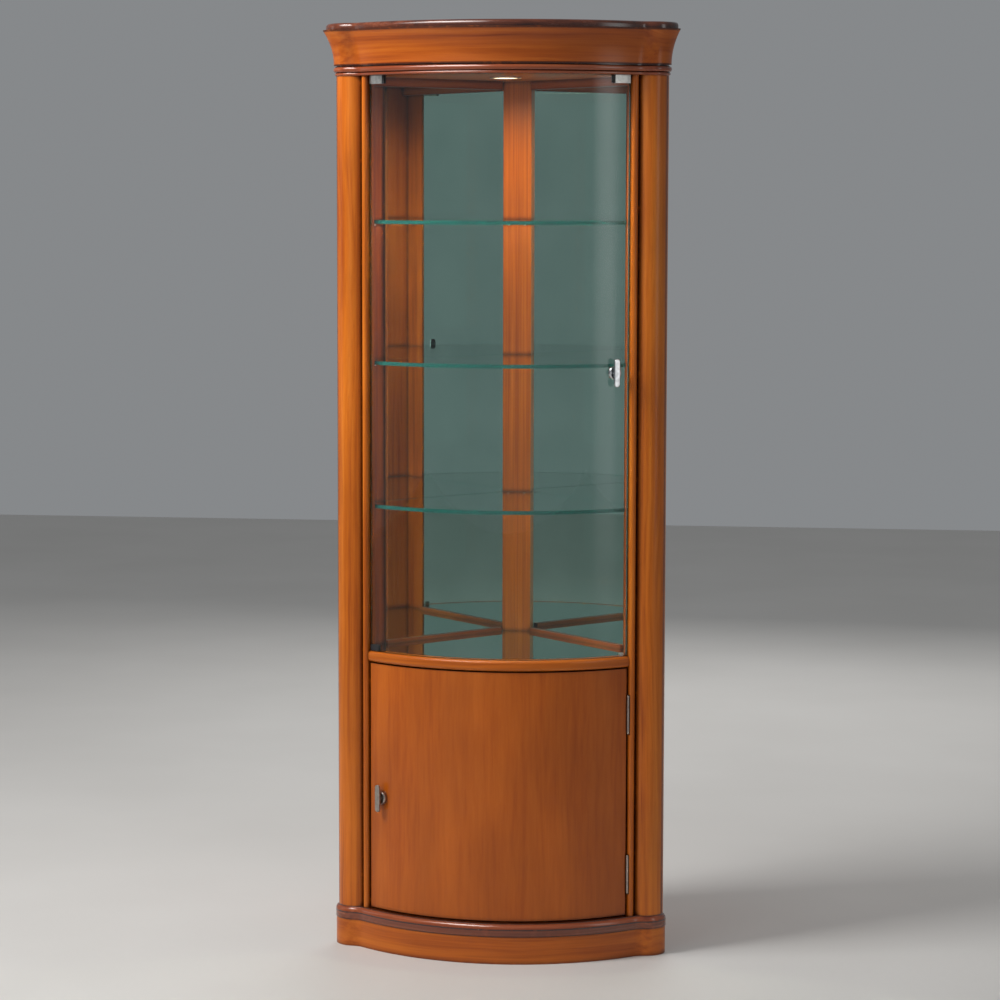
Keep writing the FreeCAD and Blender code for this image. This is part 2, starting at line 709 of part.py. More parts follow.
def rear_corner_post():
    """Post in the corner of the room, whose broad strip covers the rear edges of both mirrors."""
    body = new_body("rear_corner_post")
    sketch = new_sketch(body, lift=FLOOR)
    half = [
        ("Sizes.rear_flat", "-Sizes.rear_flat"),
        wall_point(REAR_ALONG, "0"),
        wall_point(REAR_ALONG, MIRROR_FRONT),
    ]
    draw(sketch, symmetric(half))
    pad(body, sketch, f"{CEILING} - {FLOOR}")
    holes = new_sketch(body, "XZ_Plane", STRIP_Y)
    for level_z in PIN_LEVELS:
        for side in (RIGHT, LEFT):
            circle(holes, f"{side} * Sizes.rear_pin_spacing / 2", level_z, "Sizes.shelf_pin_radius")
    pocket(body, holes, "Sizes.shelf_pin_seat")
    return body


def room_board(label, bottom, thickness):
    """Board inside the carcass: between the panels, round the rear strip, up to the post noses."""
    body = new_body(label)
    sketch = new_sketch(body, lift=bottom)
    half = [
        wall_point(REAR_ALONG, MIRROR_FRONT),
        wall_point(REAR_ALONG, PANEL_FRONT),
        wall_point(POST_ALONG, PANEL_FRONT),
        NOSE + (NOSE_ARC, -1),
    ]
    draw(sketch, symmetric(half))
    pad(body, sketch, thickness)
    return body


def ledge_rail():
    """Bowed rail between the two doors, rounded along its front and bored for the lower bush."""
    body = new_body("ledge_rail")
    sketch = new_sketch(body, lift=LEDGE_BOTTOM)
    end_reach = f"sqrt({LEDGE_RADIUS} ^ 2 - Sizes.jamb_gap ^ 2)"
    half = [NOSE, jamb(end_reach, "Sizes.jamb_gap") + (LEDGE_RADIUS, -1)]
    corners = half + mirrored(half)
    draw(sketch, corners[:3] + [corners[3][:2] + (NOSE_ARC, 1)])
    base = pad(body, sketch, "Sizes.ledge_height")
    front = value(LEDGE_RADIUS)
    rounded(body, base, "Sizes.ledge_round", lambda edge: is_arc(edge, front))
    seat = new_sketch(body, lift=DECK)
    circle(seat, *polar(PIVOT_RADIUS, f"-{PIVOT_ANGLE}"), "Sizes.pivot_bush_radius")
    pocket(body, seat, "Sizes.pivot_bush_depth")
    return body


def wall_strip(label, side, along, depth, heights):
    """Straight strip along a wall between two alongs, two depths and two heights."""
    body = wall_body(label, side)
    sketch = new_sketch(body, lift=heights[0])
    edges = [f"-{side} * ({edge})" for edge in depth]
    draw(sketch, box_corners(*along, *(edges if side == LEFT else edges[::-1])))
    pad(body, sketch, f"({heights[1]}) - ({heights[0]})")
    return body


def wall_strips(side):
    """The strips that one wall side needs, from the plinth up to the cornice."""
    name = "right" if side == RIGHT else "left"
    mirror_along = (REAR_ALONG, f"{POST_ALONG} - Sizes.bare_strip")
    rail_along = ("Sizes.rear_flat + 2 * Sizes.wall_rail_depth", f"{POST_ALONG} + Sizes.wall_rail_stop")
    rail_depth = ("0", "Sizes.wall_rail_depth")
    bearer_heights = ("0", f"{FLOOR} - Sizes.board_thickness")
    wall_strip(f"{name}_plinth_bearer", side, rail_along, rail_depth, bearer_heights)
    wall_strip(f"{name}_mirror", side, mirror_along, (PANEL_FRONT, MIRROR_FRONT), (DECK, CEILING))
    deck_depth = (MIRROR_FRONT, f"{MIRROR_FRONT} + Sizes.deck_bead_depth")
    deck_along = (f"{REAR_ALONG} + Sizes.deck_bead_depth", mirror_along[1])
    deck_heights = (DECK, f"{DECK} + Sizes.deck_bead_height")
    wall_strip(f"{name}_deck_bead", side, deck_along, deck_depth, deck_heights)
    rail_top = (f"{CEILING} - Sizes.ceiling_rail_height", CEILING)
    top_depth = (MIRROR_FRONT, f"{MIRROR_FRONT} + Sizes.ceiling_rail_depth")
    top_along = (f"{REAR_ALONG} + Sizes.ceiling_rail_depth", POST_ALONG)
    wall_strip(f"{name}_ceiling_rail", side, top_along, top_depth, rail_top)
    cornice_heights = (f"{CEILING} + Sizes.board_thickness", CAP_BOTTOM)
    wall_strip(f"{name}_cornice_rail", side, rail_along, rail_depth, cornice_heights)


# ---------------------------------------------------------------------------------------- shelves


def shelf(label, bottom, thickness, side_depth, setback):
    """Shelf with a bowed front, clear of the walls behind it by the shelf gap."""
    body = new_body(label)
    sketch = new_sketch(body, lift=bottom)
    radius = f"(Sizes.door_radius - {setback})"
    edge_depth = f"({side_depth} + Sizes.shelf_gap)"
    edge_along = f"({POST_ALONG} - Sizes.shelf_gap)"
    front_depth = f"{BOW_GRID} + sqrt({radius} ^ 2 - ({edge_along} - {BOW_GRID}) ^ 2)"
    half = [
        (f"{STRIP_Y} + Sizes.shelf_gap - sqrt(2) * {edge_depth}", f"-{STRIP_Y} - Sizes.shelf_gap"),
        wall_point(edge_along, edge_depth),
        wall_point(edge_along, front_depth) + (radius, -1),
    ]
    draw(sketch, symmetric(half))
    pad(body, sketch, thickness)
    return body


def shelves():
    names = ("lower_shelf", "middle_shelf", "upper_shelf")
    for name, bottom in zip(names, DISPLAY_SHELF_BOTTOMS):
        shelf(name, bottom, "Sizes.shelf_thickness", MIRROR_FRONT, "Sizes.shelf_setback")
    shelf(
        "cupboard_shelf",
        CUPBOARD_SHELF_BOTTOM,
        "Sizes.cupboard_shelf_thickness",
        PANEL_FRONT,
        "Sizes.cupboard_shelf_setback",
    )


def pin(label, x, y, z, turn):
    """Horizontal pin that starts at x, y and points along -Y turned about Z."""
    cylinder = doc.addObject("Part::Cylinder", label)
    cylinder.setExpression("Radius", "Sizes.shelf_pin_radius")
    cylinder.setExpression("Height", "Sizes.shelf_pin_seat + Sizes.shelf_pin_reach")
    upright = FreeCAD.Rotation(FreeCAD.Vector(1, 0, 0), 90)
    cylinder.Placement = FreeCAD.Placement(
        FreeCAD.Vector(), FreeCAD.Rotation(FreeCAD.Vector(0, 0, 1), turn).multiply(upright)
    )
    cylinder.setExpression("Placement.Base.x", x)
    cylinder.setExpression("Placement.Base.y", f"{CORNER_Y} + ({y})")
    cylinder.setExpression("Placement.Base.z", z)
    return cylinder


def shelf_pins(label, levels):
    """Four pins under each shelf: two in the rear strip and one in each panel."""
    pins = []
    for level_z in levels:
        for side in (RIGHT, LEFT):
            number = len(pins) + 1
            x, y = wall_point(PIN_ALONG, f"{PANEL_FRONT} - Sizes.shelf_pin_seat")
            pins.append(pin(f"{label}_side_{number}", f"{side} * {x}", y, level_z, -45 * side))
            rear_x = f"{side} * Sizes.rear_pin_spacing / 2"
            rear_y = f"-{STRIP_Y} + Sizes.shelf_pin_seat"
            pins.append(pin(f"{label}_rear_{number}", rear_x, rear_y, level_z, 0))
    grouped(label, pins)


# ------------------------------------------------------------------------------ wooden door, hinges


def ring_piece(label, radii, angles, bottom, height):
    """Piece of a ring about the bow centre."""
    body = new_body(label)
    sketch = new_sketch(body, lift=bottom)
    draw(sketch, sector_corners(*radii, *angles))
    pad(body, sketch, height)
    return body


def wood_door():
    """Solid bowed door with eased upright edges, bored for the knob and the hinge screws."""
    inner = "(Sizes.door_radius - Sizes.wood_door_thickness)"
    height = f"{WOOD_DOOR_TOP} - {WOOD_DOOR_BOTTOM}"
    angles = (f"-{DOOR_ANGLE}", DOOR_ANGLE)
    body = ring_piece("wood_door_blank", (inner, "Sizes.door_radius"), angles, WOOD_DOOR_BOTTOM, height)
    doc.recompute()
    x, y = (value(part) for part in jamb("Sizes.door_radius"))
    rounded(
        body,
        body.Tip,
        "Sizes.wood_door_edge_round",
        lambda edge: abs(abs(edge.Vertexes[0].X) - x) < 1e-6
        and abs(edge.Vertexes[0].Y - y) < 1e-6
        and abs(edge.tangentAt(edge.FirstParameter).z) > 0.5,
    )
    holes = screw_circles(jamb_sketch(body), "Sizes.screw_shank_radius")
    pocket(body, holes, "Sizes.screw_length")
    bored("wood_door", body, WOOD_KNOB_ANGLE, "Sizes.door_radius", WOOD_KNOB_LEVEL, KNOB_TENON)


def screw_circles(sketch, radius):
    """Three circles per hinge, in the middle of the leaf."""
    reach = f"-({HINGE_RADIUS} - Sizes.hinge_barrel_radius - Sizes.moving_gap - Sizes.hinge_leaf_width / 2)"
    for bottom in (LOWER_HINGE, UPPER_HINGE):
        for third in (0.5, 1.5, 2.5):
            circle(sketch, reach, f"{bottom} + {third} * Sizes.hinge_knuckle", radius)
    return sketch


def hinge_leaf(label, bottom, on_door):
    """Leaf with its share of the three knuckles, bored for the pin and countersunk for screws."""
    body = new_body(label)
    root = f"{HINGE_RADIUS} - Sizes.hinge_barrel_radius - Sizes.moving_gap"
    tip = f"{root} - Sizes.hinge_leaf_width"
    near = "0" if on_door else "Sizes.jamb_gap - Sizes.hinge_leaf_thickness"
    far = "Sizes.hinge_leaf_thickness" if on_door else "Sizes.jamb_gap"
    plate = new_sketch(body, lift=bottom)
    draw(plate, [jamb(tip, near), jamb(tip, far), jamb(root, far), jamb(root, near)])
    pad(body, plate, HINGE_HEIGHT)
    for index in (1,) if on_door else (0, 2):
        low = f"({bottom} + {index} * Sizes.hinge_knuckle)"
        height = "Sizes.hinge_knuckle"
        if on_door:
            low = f"({low} + Sizes.moving_gap)"
            height = "Sizes.hinge_knuckle - 2 * Sizes.moving_gap"
        tongue = new_sketch(body, lift=low)
        draw(tongue, [jamb(root, near), jamb(root, far), jamb(HINGE_RADIUS, far), jamb(HINGE_RADIUS, near)])
        pad(body, tongue, height)
        barrel = new_sketch(body, lift=low)
        circle(barrel, *HINGE_AXIS, "Sizes.hinge_barrel_radius")
        pad(body, barrel, height)
    bore = new_sketch(body, lift=bottom)
    clearance = "Sizes.running_clearance" if on_door else "0"
    circle(bore, *HINGE_AXIS, f"Sizes.hinge_pin_radius + {clearance}")
    pocket(body, bore, HINGE_HEIGHT, forward=True)
    sinks = screw_circles(jamb_sketch(body), "Sizes.screw_head_radius")
    pocket(body, sinks, "Sizes.jamb_gap", forward=True)
    return body


def hinge_screws(label, on_door):
    """Six screws: heads flush in the leaves, shanks in the wood."""
    body = new_body(label)
    face = "0" if on_door else "Sizes.jamb_gap"
    shanks = screw_circles(jamb_sketch(body, face), "Sizes.screw_shank_radius")
    pad(body, shanks, "Sizes.screw_length", reverse=on_door)
    heads = screw_circles(jamb_sketch(body, face), "Sizes.screw_head_radius")
    pad(body, heads, "Sizes.hinge_leaf_thickness", reverse=not on_door)
    return body


def hinge_pins():
    """Two pins, each with a rounded finial at either end of its barrel."""
    body = new_body("hinge_pins")
    for bottom in (LOWER_HINGE, UPPER_HINGE):
        shaft = new_sketch(body, lift=bottom)
        circle(shaft, *HINGE_AXIS, "Sizes.hinge_pin_radius")
        pad(body, shaft, HINGE_HEIGHT)
        for finial_bottom in (f"{bottom} - Sizes.hinge_finial", f"{bottom} + {HINGE_HEIGHT}"):
            finial = new_sketch(body, lift=finial_bottom)
            circle(finial, *HINGE_AXIS, "Sizes.hinge_barrel_radius")
            pad(body, finial, "Sizes.hinge_finial")
    ends = []
    for bottom in (LOWER_HINGE, UPPER_HINGE):
        ends.append(value(f"{bottom} - Sizes.hinge_finial"))
        ends.append(value(f"{bottom} + {HINGE_HEIGHT} + Sizes.hinge_finial"))
    return rounded(
        body, body.Tip, "Sizes.hinge_finial_round", lambda edge: any(level(edge, end) for end in ends)
    )


def wood_door_catch():
    """Magnetic catch under the divider and its strike plate on the back of the door."""
    angle = f"-({DOOR_ANGLE} - {arc_angle('Sizes.catch_inset', 'Sizes.door_radius')})"
    door_inner = "(Sizes.door_radius - Sizes.wood_door_thickness)"
    catch_outer = f"({door_inner} - Sizes.strike_thickness - Sizes.catch_gap)"
    divider_bottom = f"({DIVIDER_TOP} - Sizes.board_thickness)"
    catch_bottom = f"({divider_bottom} - Sizes.catch_height)"
    half_catch = arc_angle("Sizes.catch_width / 2", catch_outer)
    half_strike = arc_angle("Sizes.strike_width / 2", door_inner)
    ring_piece(
        "wood_door_catch",
        (f"({catch_outer} - Sizes.catch_depth)", catch_outer),
        (f"({angle} - {half_catch})", f"({angle} + {half_catch})"),
        catch_bottom,
        "Sizes.catch_height",
    )
    ring_piece(
        "wood_door_strike_plate",
        (f"({door_inner} - Sizes.strike_thickness)", door_inner),
        (f"({angle} - {half_strike})", f"({angle} + {half_strike})"),
        f"({WOOD_DOOR_TOP} - Sizes.catch_gap - Sizes.strike_height)",
        "Sizes.strike_height",
    )


# -------------------------------------------------------------------------------- glass door, clips


def glass_door_pane():
    """Bent pane with a hole for the knob's bolt."""
    angles = (f"-{DOOR_ANGLE}", DOOR_ANGLE)
    height = f"{GLASS_TOP} - {GLASS_BOTTOM}"
    body = ring_piece("glass_door_blank", (GLASS_INNER, GLASS_RADIUS), angles, GLASS_BOTTOM, height)
    through = "2 * Sizes.glass_thickness"
    bored("glass_door_pane", body, GLASS_KNOB_ANGLE, GLASS_RADIUS, GLASS_KNOB_LEVEL, through)


def clip(label, span, plate, height, web_top, upside_down=False):
    """Channel that wraps the top or bottom edge of the pane over an angular span."""
    outer = f"({GLASS_RADIUS} + {plate})"
    inner = f"({GLASS_INNER} - {plate})"
    bottom = f"({GLASS_BOTTOM} - {web_top})" if upside_down else f"({GLASS_TOP} + {web_top} - {height})"
    body = ring_piece(label, (inner, outer), span, bottom, height)
    slot_bottom = GLASS_BOTTOM if upside_down else bottom
    slot = new_sketch(body, lift=slot_bottom)
    wide = (f"({span[0]} - 1)", f"({span[1]} + 1)")
    draw(slot, sector_corners(GLASS_INNER, GLASS_RADIUS, *wide))
    pocket(body, slot, f"{height} - {web_top}", forward=True)
    return body


def clip_span(start, end, side):
    """Angular span between two distances from the end of the pane, on one side."""
    near = f"({DOOR_ANGLE} - {arc_angle(start, PIVOT_RADIUS)})"
    far = f"({DOOR_ANGLE} - {arc_angle(end, PIVOT_RADIUS)})"
    return (far, near) if side == RIGHT else (f"-{near}", f"-{far}")


def glass_door_clips():
    body_span = ("0", "Sizes.clip_width - Sizes.clip_pad_width")
    for label, side in (("glass_door_pivot_clip", LEFT), ("glass_door_catch_clip", RIGHT)):
        clip(label, clip_span(*body_span, side), "Sizes.clip_plate", "Sizes.clip_height", "Sizes.clip_web")
    pads = []
    for label, side in (("left_clip_pad", LEFT), ("right_clip_pad", RIGHT)):
        span = clip_span(body_span[1], "Sizes.clip_width", side)
        pads.append(clip(label, span, "Sizes.clip_pad_plate", "Sizes.clip_height", "Sizes.clip_web"))
    grouped("glass_door_clip_pads", pads)
    shoe_sizes = ("Sizes.shoe_plate", "Sizes.shoe_height", "Sizes.shoe_web")
    clip("glass_door_bottom_shoe", clip_span("0", "Sizes.shoe_width", LEFT), *shoe_sizes, upside_down=True)


def upright_rod(label, x, y, bottom, height, radius, bore=None):
    """Upright rod or tube."""
    body = new_body(label)
    sketch = new_sketch(body, lift=bottom)
    circle(sketch, x, y, radius)
    if bore:
        circle(sketch, x, y, bore)
    pad(body, sketch, height)
    return body


def glass_door_pivots():
    """Pins above and below the pane, and the bushes they turn in."""
    axis = polar(PIVOT_RADIUS, f"-{PIVOT_ANGLE}")
    clip_top = f"({GLASS_TOP} + Sizes.clip_web)"
    shoe_bottom = f"({GLASS_BOTTOM} - Sizes.shoe_web)"
    top_length = f"{CEILING} + Sizes.pivot_bush_depth - Sizes.moving_gap - {clip_top}"
    low = f"({DECK} - Sizes.pivot_bush_depth + Sizes.moving_gap)"
    low_length = f"{shoe_bottom} - {low}"
    upright_rod("glass_door_top_pivot_pin", *axis, clip_top, top_length, "Sizes.pivot_pin_radius")
    upright_rod("glass_door_bottom_pivot_pin", *axis, low, low_length, "Sizes.pivot_pin_radius")
    bore = "Sizes.pivot_pin_radius + Sizes.running_clearance"
    bushes = [
        upright_rod(label, *axis, bottom, "Sizes.pivot_bush_depth", "Sizes.pivot_bush_radius", bore)
        for label, bottom in (("top_bush", CEILING), ("bottom_bush", f"({DECK} - Sizes.pivot_bush_depth)"))
    ]
    grouped("glass_door_pivot_bushes", bushes)
    magnet = polar(PIVOT_RADIUS, MAGNET_ANGLE)
    upright_rod("glass_door_magnet", *magnet, CEILING, "Sizes.magnet_depth", "Sizes.magnet_radius")


def glass_door_stop():
    """Small metal stop on the ledge, behind the closing corner of the pane."""
    outer = f"({GLASS_INNER} - Sizes.stop_gap)"
    span = clip_span("Sizes.stop_inset", "Sizes.stop_inset + Sizes.stop_width", RIGHT)
    ring_piece("glass_door_stop", (f"({outer} - Sizes.stop_depth)", outer), span, DECK, "Sizes.stop_height")


# ------------------------------------------------------------------------------------------ knobs


def bored(label, blank, angle, face, level_z, depth):
    """Door cut from its blank with a radial hole for a knob's tenon."""
    tool = radial_body(f"{label}_knob_hole", angle)
    sketch = circle(new_sketch(tool, "XZ_Plane", face), "0", level_z, "Sizes.knob_tenon_radius")
    pad(tool, sketch, depth, reverse=True)
    cut = doc.addObject("Part::Cut", label)
    cut.Label = label
    cut.Base = blank
    cut.Tool = tool


def knob_plate(prefix, angle, back, level_z):
    """Long plate with round ends and an eased front edge."""
    plate = radial_body(f"{prefix}_knob_plate", angle)
    outline = new_sketch(plate, "XZ_Plane", back)
    half = "(Sizes.knob_oval_width / 2)"
    straight = f"(Sizes.knob_oval_height / 2 - {half})"
    draw(
        outline,
        [
            (half, f"{level_z} - {straight}"),
            (half, f"{level_z} + {straight}", half, 1),
            ("0", f"{level_z} + {straight} + {half}", half, 1),
            (f"-{half}", f"{level_z} + {straight}"),
            (f"-{half}", f"{level_z} - {straight}", half, 1),
            ("0", f"{level_z} - {straight} - {half}", half, 1),
        ],
    )
    base = pad(plate, outline, "Sizes.knob_oval_thickness")
    doc.recompute()
    front = -value(f"{back} + Sizes.knob_oval_thickness")
    rim = lambda edge: abs(edge.BoundBox.YMin - front) < 1e-6 and abs(edge.BoundBox.YMax - front) < 1e-6
    rounded(plate, base, "Sizes.knob_oval_round", rim)


def knob(prefix, angle, face, level_z, tenon):
    """Oval plate on a short neck and a round boss; the tenon sits in the door."""
    stem = radial_body(f"{prefix}_knob_stem", angle)
    boss_front = f"{face} + Sizes.knob_boss_thickness"
    for start, radius, length, inwards in (
        (face, "Sizes.knob_boss_radius", "Sizes.knob_boss_thickness", False),
        (boss_front, "Sizes.knob_neck_radius", "Sizes.knob_neck_length", False),
        (face, "Sizes.knob_tenon_radius", tenon, True),
    ):
        section = new_sketch(stem, "XZ_Plane", start)
        circle(section, "0", level_z, radius)
        pad(stem, section, length, reverse=inwards)
    doc.recompute()
    front = -value(boss_front)
    boss_width = 2 * value("Sizes.knob_boss_radius")
    rim = lambda edge: abs(edge.BoundBox.YMax - front) < 1e-6 and edge.BoundBox.XLength > 0.9 * boss_width
    rounded(stem, stem.Tip, "Sizes.knob_boss_round", rim)
    knob_plate(prefix, angle, f"{boss_front} + Sizes.knob_neck_length", level_z)


def knobs():
    knob("wood_door", WOOD_KNOB_ANGLE, "Sizes.door_radius", WOOD_KNOB_LEVEL, KNOB_TENON)
    tenon = "Sizes.glass_thickness + Sizes.knob_rosette_thickness"
    knob("glass_door", GLASS_KNOB_ANGLE, GLASS_RADIUS, GLASS_KNOB_LEVEL, tenon)
    rosette = radial_body("glass_door_knob_rosette", GLASS_KNOB_ANGLE)
    rim = f"sqrt({GLASS_INNER} ^ 2 - Sizes.knob_rosette_radius ^ 2)"
    disc = new_sketch(rosette, "XZ_Plane", rim)
    circle(disc, "0", GLASS_KNOB_LEVEL, "Sizes.knob_rosette_radius")
    circle(disc, "0", GLASS_KNOB_LEVEL, "Sizes.knob_tenon_radius")
    pad(rosette, disc, "Sizes.knob_rosette_thickness", reverse=True)


# --------------------------------------------------------------------------------------- spotlight


def spotlight():
    """Recessed ceiling light: flange ring, lens and can."""
    centre = ("0", "-Sizes.spotlight_y")
    ring_bottom = f"({CEILING} - Sizes.spotlight_flange_thickness)"
    inner = "(Sizes.spotlight_can_radius - Sizes.spotlight_can_wall)"
    flange = "Sizes.spotlight_flange_thickness"
    upright_rod("spotlight_ring", *centre, ring_bottom, flange, "Sizes.spotlight_flange_radius", inner)
    upright_rod("spotlight_lens", *centre, ring_bottom, "Sizes.spotlight_lens_thickness", inner)
    can_height = "Sizes.spotlight_can_height"
    can = upright_rod("spotlight_can", *centre, CEILING, can_height, "Sizes.spotlight_can_radius")
    hollow = circle(new_sketch(can, lift=CEILING), *centre, inner)
    pocket(can, hollow, f"{can_height} - Sizes.spotlight_can_wall", forward=True)


# ------------------------------------------------------------------------------- build and export


def build():
    plinth_board()
    plinth_cap_moulding()
    base_board()
    post(LEFT)
    right_post()
    for side in (RIGHT, LEFT):
        back_panel(side)
        wall_strips(side)
    rear_corner_post()
    room_board("divider_board", f"({DIVIDER_TOP} - Sizes.board_thickness)", "Sizes.board_thickness")
    room_board("deck_mirror", DIVIDER_TOP, "Sizes.deck_mirror_thickness")
    ledge_rail()
    ceiling_board()
    cornice_bead_moulding()
    cornice_cove()
    cornice_cap()
    shelves()
    shelf_pins("shelf_pins", PIN_LEVELS[1:])
    shelf_pins("cupboard_shelf_pins", PIN_LEVELS[:1])
    wood_door()
    for place, bottom in (("lower", LOWER_HINGE), ("upper", UPPER_HINGE)):
        hinge_leaf(f"{place}_hinge_door_leaf", bottom, on_door=True)
        hinge_leaf(f"{place}_hinge_post_leaf", bottom, on_door=False)
    hinge_screws("hinge_door_screws", on_door=True)
    hinge_screws("hinge_post_screws", on_door=False)
    hinge_pins()
    wood_door_catch()
    glass_door_pane()
    glass_door_clips()
    glass_door_pivots()
    glass_door_stop()
    knobs()
    spotlight()
    doc.recompute()


def failures():
    """Names of objects that did not build, and of cuts that removed nothing."""
    bad = [item.Name for item in doc.Objects if {"Invalid", "Error"} & set(item.State)]
    for item in doc.Objects:
        if item.TypeId == "PartDesign::Pocket" and item.Shape.Volume >= item.BaseFeature.Shape.Volume:
            bad.append(item.Name)
    return bad


def sub_parts():
    """The pieces of the cabinet: every solid object that nothing else is made from."""
    kinds = ("PartDesign::Body", "Part::Cut", "Part::Compound")
    return [item for item in doc.Objects if item.TypeId in kinds and not used_up(item)]


def used_up(item):
    """True where a cut or a group has taken the object in."""
    return any(user.TypeId in ("Part::Cut", "Part::Compound") for user in item.InList)


def export():
    """Writes one STEP file for each sub-part, once all of them are sound."""
    bad = failures()
    bad += [item.Label for item in sub_parts() if item.Shape.isNull() or not item.Shape.isValid()]
    if bad:
        raise RuntimeError("did not build: " + ", ".join(bad))
    os.makedirs("parts", exist_ok=True)
    for item in sub_parts():
        item.Shape.exportStep(f"parts/{item.Label}.step")


build()
export()
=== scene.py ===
import math

import bpy
from mathutils import Matrix, Vector


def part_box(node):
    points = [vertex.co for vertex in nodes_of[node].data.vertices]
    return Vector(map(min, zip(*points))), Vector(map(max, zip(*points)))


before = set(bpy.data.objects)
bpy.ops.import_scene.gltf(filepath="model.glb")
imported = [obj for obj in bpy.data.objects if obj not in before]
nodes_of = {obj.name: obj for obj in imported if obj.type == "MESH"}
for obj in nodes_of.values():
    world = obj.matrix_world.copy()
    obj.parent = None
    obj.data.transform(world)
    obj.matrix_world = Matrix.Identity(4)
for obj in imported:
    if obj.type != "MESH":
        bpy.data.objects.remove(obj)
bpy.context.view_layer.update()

# ------------------------------------------------------------------ places taken from the frame

BOW_RADIUS = 0.462            # outer face of the wooden door, about the bow centre
door_low, door_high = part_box("wood_door")
BOW_CENTRE_Y = door_low.y + BOW_RADIUS
POST_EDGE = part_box("right_post")[1].x

lens_low, lens_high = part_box("spotlight_lens")
lens_centre = (lens_low + lens_high) / 2

plinth_cap_low, plinth_cap_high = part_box("plinth_cap_moulding")
cove_low, cove_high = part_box("cornice_cove")
bead_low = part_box("cornice_bead_moulding")[0]
SHADE_LINES = [               # height, half-width and strength of each line of painted shade at a moulding's joints and grooves
    (plinth_cap_low.z + 0.0005, 0.0035, 0.90),
    (plinth_cap_low.z + 0.0060, 0.0100, 0.40),
    (plinth_cap_high.z - 0.0125, 0.0026, 0.85),
    (plinth_cap_high.z - 0.0005, 0.0014, 0.80),
    (bead_low.z + 0.0070, 0.0012, 0.80),
    (cove_low.z + 0.0010, 0.0030, 0.85),
    (cove_high.z - 0.0010, 0.0045, 0.85),
]


# ------------------------------------------------------------------------- node-tree helpers


